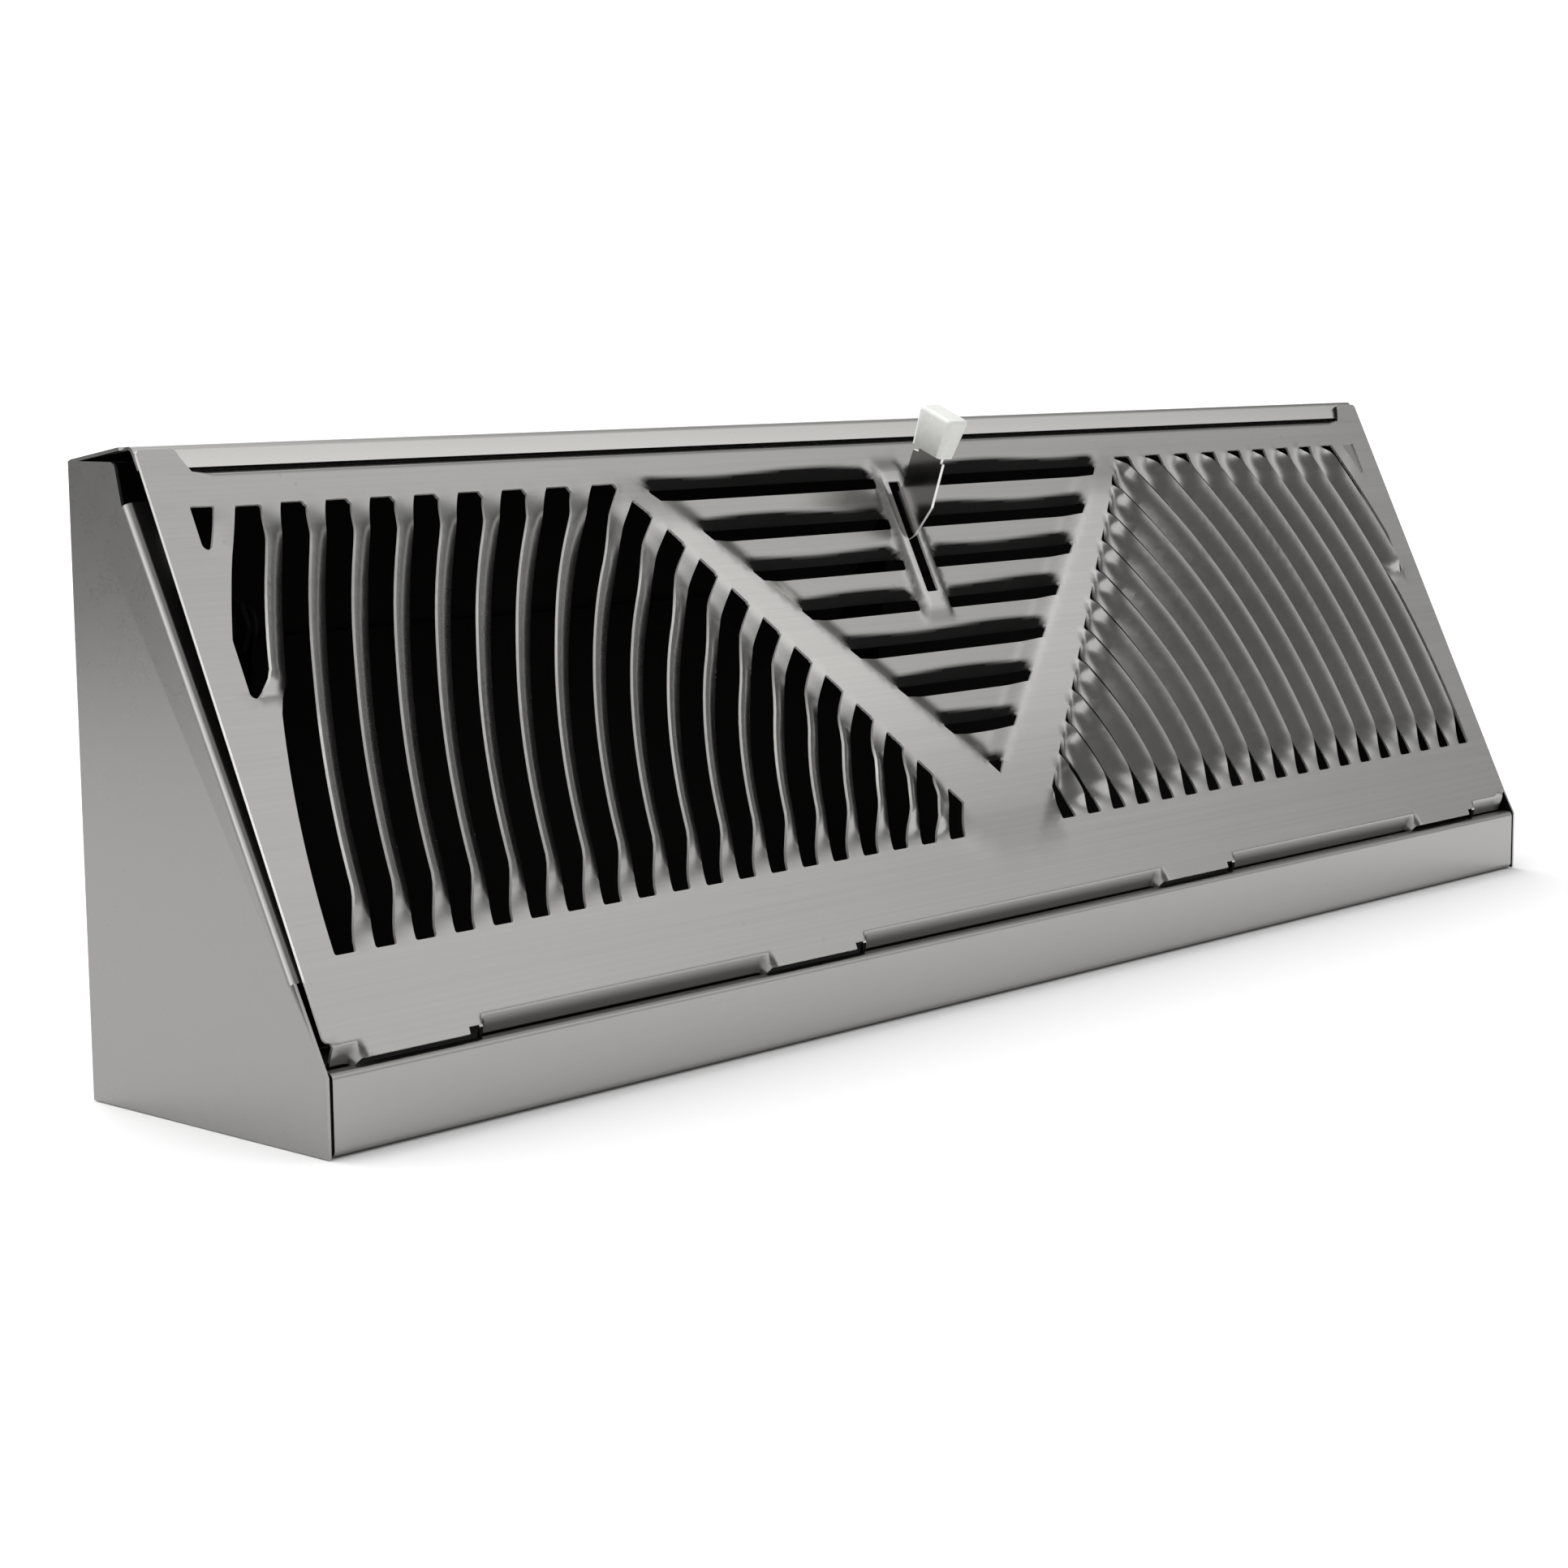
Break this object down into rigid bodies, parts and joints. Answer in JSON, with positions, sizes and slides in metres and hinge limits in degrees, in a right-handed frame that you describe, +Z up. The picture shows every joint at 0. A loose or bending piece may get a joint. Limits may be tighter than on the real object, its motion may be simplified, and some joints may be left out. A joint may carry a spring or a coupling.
{
  "type": "baseboard register",
  "caption": "Wedge-shaped sheet-metal baseboard register: slanted louvred face, rear duct opening, and a hinged damper blade worked by a hand lever that stands out through the face.",
  "frame": {"origin": "middle of the length and of the depth, on the floor plane under the pan", "axes": "+X along the register to the right as seen from the front, +Y towards the wall, +Z up"},
  "size_m": [0.381, 0.0654, 0.1192],
  "materials": {
    "housing_metal": "satin grey, fine grain",
    "face_metal": "satin, brushed along the length",
    "damper_metal": "dull dark grey",
    "lever_metal": "satin",
    "cap_plastic": "white, semi-matte",
    "rivet_metal": "plain",
    "bracket_metal": "plain",
    "washer_plastic": "black"
  },
  "bodies": {
    "housing": {"back_housing": "housing_metal", "face_grille": "face_metal", "left_pivot_bracket": "bracket_metal", "right_pivot_bracket": "bracket_metal", "left_pivot_pin": "rivet_metal", "right_pivot_pin": "rivet_metal", "left_friction_washer": "washer_plastic", "right_friction_washer": "washer_plastic", "bracket_rivets": "rivet_metal"},
    "damper": {"damper_blade": "damper_metal", "damper_lever": "lever_metal", "lever_cap": "cap_plastic", "lever_rivets": "rivet_metal"}
  },
  "joints": [
    {"name": "damper_pivot", "type": "hinge", "parent": "housing", "child": "damper", "pos_m": [0, 0.02025, 0.0835], "axis": [1, 0, 0], "range_deg": [-2, 31.5]}
  ]
}
